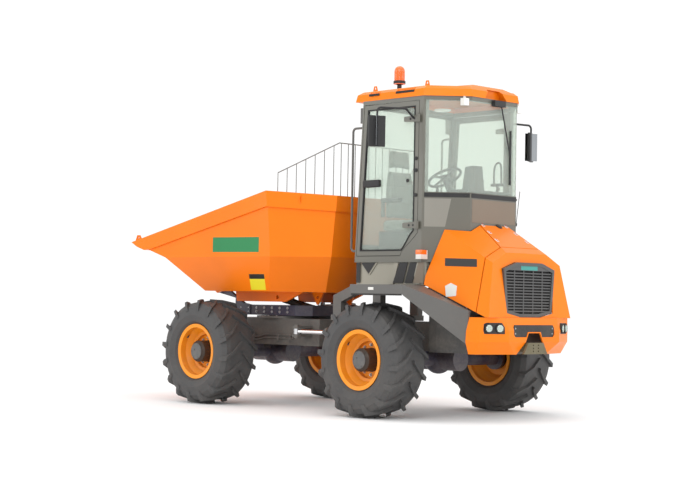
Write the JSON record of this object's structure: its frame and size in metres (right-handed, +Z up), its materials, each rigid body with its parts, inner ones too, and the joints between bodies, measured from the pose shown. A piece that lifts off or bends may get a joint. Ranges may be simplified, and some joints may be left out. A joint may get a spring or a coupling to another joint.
{
  "type": "swivel skip site dumper",
  "caption": "Articulated four wheel site dumper with a swivelling, forward tipping skip, lugged tyres and a glazed cab over the engine end.",
  "frame": {"origin": "on the ground under the centre of the machine's overall box", "axes": "+X forward to the skip's lip, +Y to the left, +Z up"},
  "size_m": [5.217, 2.49, 3.638],
  "materials": {
    "orange_paint": "gloss",
    "skip_paint": "gloss",
    "grey_paint": "satin",
    "chassis_paint": "satin",
    "axle_paint": "satin",
    "cab_paint": "satin",
    "panel_paint": "satin",
    "rubber_tyre": "matte",
    "black_plastic": "matte",
    "tinted_glass": "clear",
    "rod_chrome": "polished",
    "seat_fabric": "woven",
    "amber_lens": "gloss",
    "lamp_lens": "gloss",
    "engine_iron": "rough",
    "guard_paint": "satin"
  },
  "bodies": {
    "rear_chassis": {"rear_frame": "chassis_paint", "rear_axle": "axle_paint", "engine_block": "engine_iron", "hood_strip": "orange_paint", "cowl": "orange_paint", "grille": "black_plastic", "bumper": "orange_paint", "tail_panel": "black_plastic", "hitch_plate": "chassis_paint", "tail_lamps": "lamp_lens", "fenders": "grey_paint", "side_tanks": "chassis_paint", "cab_frame": "cab_paint", "cab_base": "panel_paint", "cab_glass": "tinted_glass", "roof": "orange_paint", "seat_base": "black_plastic", "seat_cushions": "seat_fabric", "console": "black_plastic", "steering_wheel": "black_plastic", "beacon": "amber_lens", "work_lamps": "lamp_lens", "wiper": "black_plastic", "grab_rails": "cab_paint"},
    "front_chassis": {"front_frame": "chassis_paint", "front_axle": "axle_paint"},
    "turntable": {"swivel_frame": "axle_paint"},
    "skip_body": {"skip": "skip_paint", "skip_guard": "guard_paint"},
    "left_wing_body": {"left_wing": "orange_paint"},
    "right_wing_body": {"right_wing": "orange_paint"},
    "left_door_body": {"left_door": "cab_paint", "left_door_glass": "tinted_glass", "left_mirror": "black_plastic"},
    "right_door_body": {"right_door": "cab_paint", "right_door_glass": "tinted_glass", "right_mirror": "black_plastic"},
    "left_steer_barrel_body": {"left_steer_barrel": "chassis_paint"},
    "left_steer_rod_body": {"left_steer_rod": "rod_chrome"},
    "right_steer_barrel_body": {"right_steer_barrel": "chassis_paint"},
    "right_steer_rod_body": {"right_steer_rod": "rod_chrome"},
    "tip_barrel_body": {"tip_barrel": "chassis_paint"},
    "tip_rod_body": {"tip_rod": "rod_chrome"},
    "front_left_wheel": {"front_left_rim": "orange_paint", "front_left_tyre": "rubber_tyre"},
    "front_right_wheel": {"front_right_rim": "orange_paint", "front_right_tyre": "rubber_tyre"},
    "rear_left_wheel": {"rear_left_rim": "orange_paint", "rear_left_tyre": "rubber_tyre"},
    "rear_right_wheel": {"rear_right_rim": "orange_paint", "rear_right_tyre": "rubber_tyre"}
  },
  "joints": [
    {"name": "articulation", "type": "hinge", "parent": "rear_chassis", "child": "front_chassis", "pos_m": [-0.0365, 0, 0.812], "axis": [0, 0, 1], "range_deg": [-30, 30]},
    {"name": "skip_swivel", "type": "hinge", "parent": "front_chassis", "child": "turntable", "pos_m": [0.8635, 0, 1], "axis": [0, 0, 1], "range_deg": [-90, 90]},
    {"name": "skip_tip", "type": "hinge", "parent": "turntable", "child": "skip_body", "pos_m": [1.7135, 0, 1.285], "axis": [0, 1, 0], "range_deg": [0, 50]},
    {"name": "front_left_wheel_spin", "type": "hinge", "parent": "front_chassis", "child": "front_left_wheel", "pos_m": [1.2385, 1, 0.58], "axis": [0, 1, 0], "continuous": true},
    {"name": "front_right_wheel_spin", "type": "hinge", "parent": "front_chassis", "child": "front_right_wheel", "pos_m": [1.2385, -1, 0.58], "axis": [0, 1, 0], "continuous": true},
    {"name": "rear_left_wheel_spin", "type": "hinge", "parent": "rear_chassis", "child": "rear_left_wheel", "pos_m": [-1.3115, 1, 0.58], "axis": [0, 1, 0], "continuous": true},
    {"name": "rear_right_wheel_spin", "type": "hinge", "parent": "rear_chassis", "child": "rear_right_wheel", "pos_m": [-1.3115, -1, 0.58], "axis": [0, 1, 0], "continuous": true},
    {"name": "left_cab_door", "type": "hinge", "parent": "rear_chassis", "child": "left_door_body", "pos_m": [-1.6565, 0.739, 2.4], "axis": [0, 0, 1], "range_deg": [0, 90]},
    {"name": "left_hood_wing", "type": "hinge", "parent": "rear_chassis", "child": "left_wing_body", "pos_m": [-2.2215, 0.259, 1.8415], "axis": [0.8111, -0.194, 0.5518], "range_deg": [0, 60]},
    {"name": "left_steer_barrel_swing", "type": "hinge", "parent": "rear_chassis", "child": "left_steer_barrel_body", "pos_m": [-0.9365, 0.455, 0.825], "axis": [0, 0, 1], "range_deg": [-12, 12]},
    {"name": "left_steer_rod_slide", "type": "slide", "parent": "left_steer_barrel_body", "child": "left_steer_rod_body", "axis": [0.9924, 0.123, 0], "range_m": [-0.3, 0.3]},
    {"name": "right_cab_door", "type": "hinge", "parent": "rear_chassis", "child": "right_door_body", "pos_m": [-1.6565, -0.739, 2.4], "axis": [0, 0, -1], "range_deg": [0, 90]},
    {"name": "right_hood_wing", "type": "hinge", "parent": "rear_chassis", "child": "right_wing_body", "pos_m": [-2.2215, -0.259, 1.8415], "axis": [-0.8111, -0.194, -0.5518], "range_deg": [0, 60]},
    {"name": "right_steer_barrel_swing", "type": "hinge", "parent": "rear_chassis", "child": "right_steer_barrel_body", "pos_m": [-0.9365, -0.455, 0.825], "axis": [0, 0, 1], "range_deg": [-12, 12]},
    {"name": "right_steer_rod_slide", "type": "slide", "parent": "right_steer_barrel_body", "child": "right_steer_rod_body", "axis": [0.9924, -0.123, 0], "range_m": [-0.3, 0.3]},
    {"name": "tip_barrel_swing", "type": "hinge", "parent": "turntable", "child": "tip_barrel_body", "pos_m": [0.5635, 0, 1.065], "axis": [0, 1, 0], "range_deg": [-30, 0]},
    {"name": "tip_rod_slide", "type": "slide", "parent": "tip_barrel_body", "child": "tip_rod_body", "axis": [0.9806, 0, 0.1961], "range_m": [0, 0.31]}
  ],
  "couplings": [
    {"joint": "left_steer_barrel_swing", "follows": "articulation", "ratio": 0.27122},
    {"joint": "left_steer_rod_slide", "follows": "articulation", "m_per_rad": -0.55211},
    {"joint": "right_steer_barrel_swing", "follows": "articulation", "ratio": 0.27122},
    {"joint": "right_steer_rod_slide", "follows": "articulation", "m_per_rad": 0.55211},
    {"joint": "tip_barrel_swing", "follows": "skip_tip", "ratio": -0.4871},
    {"joint": "tip_rod_slide", "follows": "skip_tip", "m_per_rad": 0.31188}
  ]
}
